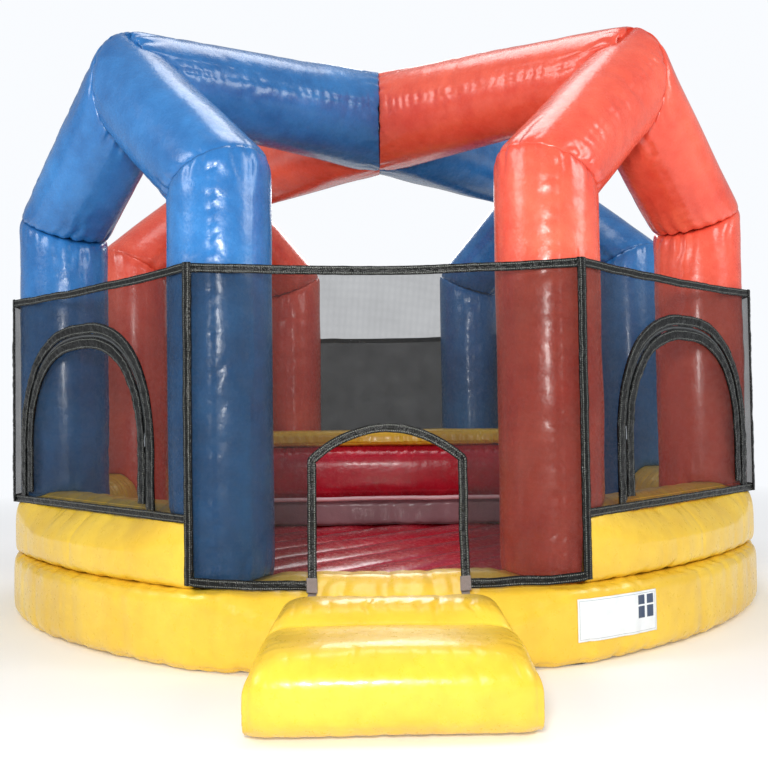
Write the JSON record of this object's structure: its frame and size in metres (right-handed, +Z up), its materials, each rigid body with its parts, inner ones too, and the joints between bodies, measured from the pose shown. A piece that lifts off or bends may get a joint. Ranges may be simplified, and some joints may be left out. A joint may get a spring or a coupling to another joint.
{
  "type": "inflatable bounce house",
  "caption": "Octagonal inflatable bounce house with tubular A-frame roof, netted sides, zippered arch doors, entrance step, ring base and constant-air blower",
  "frame": {"origin": "middle of the octagon on the underside of the ground sheet, at ground level", "axes": "+Z up; -Y is the front, with the entrance and step; +X is the right side seen from the front; the blower stands behind, toward +Y"},
  "size_m": [5.558, 7.38, 4.1523],
  "materials": {
    "blue_vinyl": "gloss",
    "orange_vinyl": "gloss",
    "yellow_vinyl": "gloss",
    "red_vinyl": "gloss",
    "mauve_vinyl": "satin",
    "pink_piping": "satin",
    "black_vinyl": "gloss",
    "dark_mesh": "matte",
    "grey_webbing": "matte",
    "pale_label": "satin",
    "ground_cloth": "matte",
    "blue_plastic": "satin",
    "dark_metal": "satin",
    "zinc_steel": "satin"
  },
  "bodies": {
    "structure": {"ground_sheet": "ground_cloth", "lower_ring": "yellow_vinyl", "upper_ring": "yellow_vinyl", "floor_mattress": "red_vinyl", "bolster_base": "mauve_vinyl", "bolster_piping": "pink_piping", "bolster_body": "red_vinyl", "bolster_cap": "yellow_vinyl", "column_front_right": "orange_vinyl", "column_right_front": "orange_vinyl", "column_right_back": "blue_vinyl", "column_back_right": "blue_vinyl", "column_back_left": "orange_vinyl", "column_left_back": "orange_vinyl", "column_left_front": "blue_vinyl", "column_front_left": "blue_vinyl", "strut_front_right": "orange_vinyl", "strut_right_front": "orange_vinyl", "strut_right_back": "blue_vinyl", "strut_back_right": "blue_vinyl", "strut_back_left": "orange_vinyl", "strut_left_back": "orange_vinyl", "strut_left_front": "blue_vinyl", "strut_front_left": "blue_vinyl", "beam_front_right": "orange_vinyl", "beam_back_right": "blue_vinyl", "beam_back_left": "orange_vinyl", "beam_front_left": "blue_vinyl", "net_front": "dark_mesh", "net_front_right": "dark_mesh", "net_right": "dark_mesh", "net_back_right": "dark_mesh", "net_back": "dark_mesh", "net_back_left": "dark_mesh", "net_left": "dark_mesh", "net_front_left": "dark_mesh", "net_binding": "black_vinyl", "door_trim_left": "black_vinyl", "entrance_tie_left": "grey_webbing", "anchor_tab_left": "grey_webbing", "door_trim_right": "black_vinyl", "entrance_tie_right": "grey_webbing", "anchor_tab_right": "grey_webbing", "entrance_step": "yellow_vinyl", "safety_label": "pale_label", "inflation_sleeve": "yellow_vinyl", "sleeve_strap": "grey_webbing", "blower_housing": "blue_plastic", "blower_motor": "dark_metal", "blower_grille": "dark_metal"},
    "door_left": {"door_flap_left": "dark_mesh", "door_flap_band_left": "black_vinyl"},
    "door_right": {"door_flap_right": "dark_mesh", "door_flap_band_right": "black_vinyl"},
    "zip_left": {"zip_slider_left": "zinc_steel"},
    "zip_right": {"zip_slider_right": "zinc_steel"},
    "impeller": {"blower_impeller": "dark_metal"},
    "deflation_flap": {"deflation_flap": "yellow_vinyl"},
    "anchor_ring_left": {"anchor_ring_left": "zinc_steel"},
    "anchor_ring_right": {"anchor_ring_right": "zinc_steel"}
  },
  "joints": [
    {"name": "door_left_fold", "type": "hinge", "parent": "structure", "child": "door_left", "pos_m": [-1.82999, -1.82999, 0.86], "axis": [0.7071, -0.7071, 0], "range_deg": [0, 120]},
    {"name": "zip_left_slide", "type": "slide", "parent": "structure", "child": "zip_left", "axis": [0, 0, 1], "range_m": [-0.38, 0]},
    {"name": "door_right_fold", "type": "hinge", "parent": "structure", "child": "door_right", "pos_m": [1.82999, -1.82999, 0.86], "axis": [0.7071, 0.7071, 0], "range_deg": [0, 120]},
    {"name": "zip_right_slide", "type": "slide", "parent": "structure", "child": "zip_right", "axis": [0, 0, 1], "range_m": [-0.38, 0]},
    {"name": "impeller_spin", "type": "hinge", "parent": "structure", "child": "impeller", "pos_m": [0.65, 3.44, 0.29], "axis": [1, 0, 0], "continuous": true},
    {"name": "deflation_flap_lift", "type": "hinge", "parent": "structure", "child": "deflation_flap", "pos_m": [0, 2.7815, 0.372], "axis": [1, 0, 0], "range_deg": [0, 110]},
    {"name": "anchor_ring_left_swing", "type": "hinge", "parent": "structure", "child": "anchor_ring_left", "pos_m": [-1.07993, 2.60719, 0.095], "axis": [0.9239, 0.3827, 0], "range_deg": [-10, 140]},
    {"name": "anchor_ring_right_swing", "type": "hinge", "parent": "structure", "child": "anchor_ring_right", "pos_m": [1.07993, 2.60719, 0.095], "axis": [0.9239, -0.3827, 0], "range_deg": [-10, 140]}
  ]
}
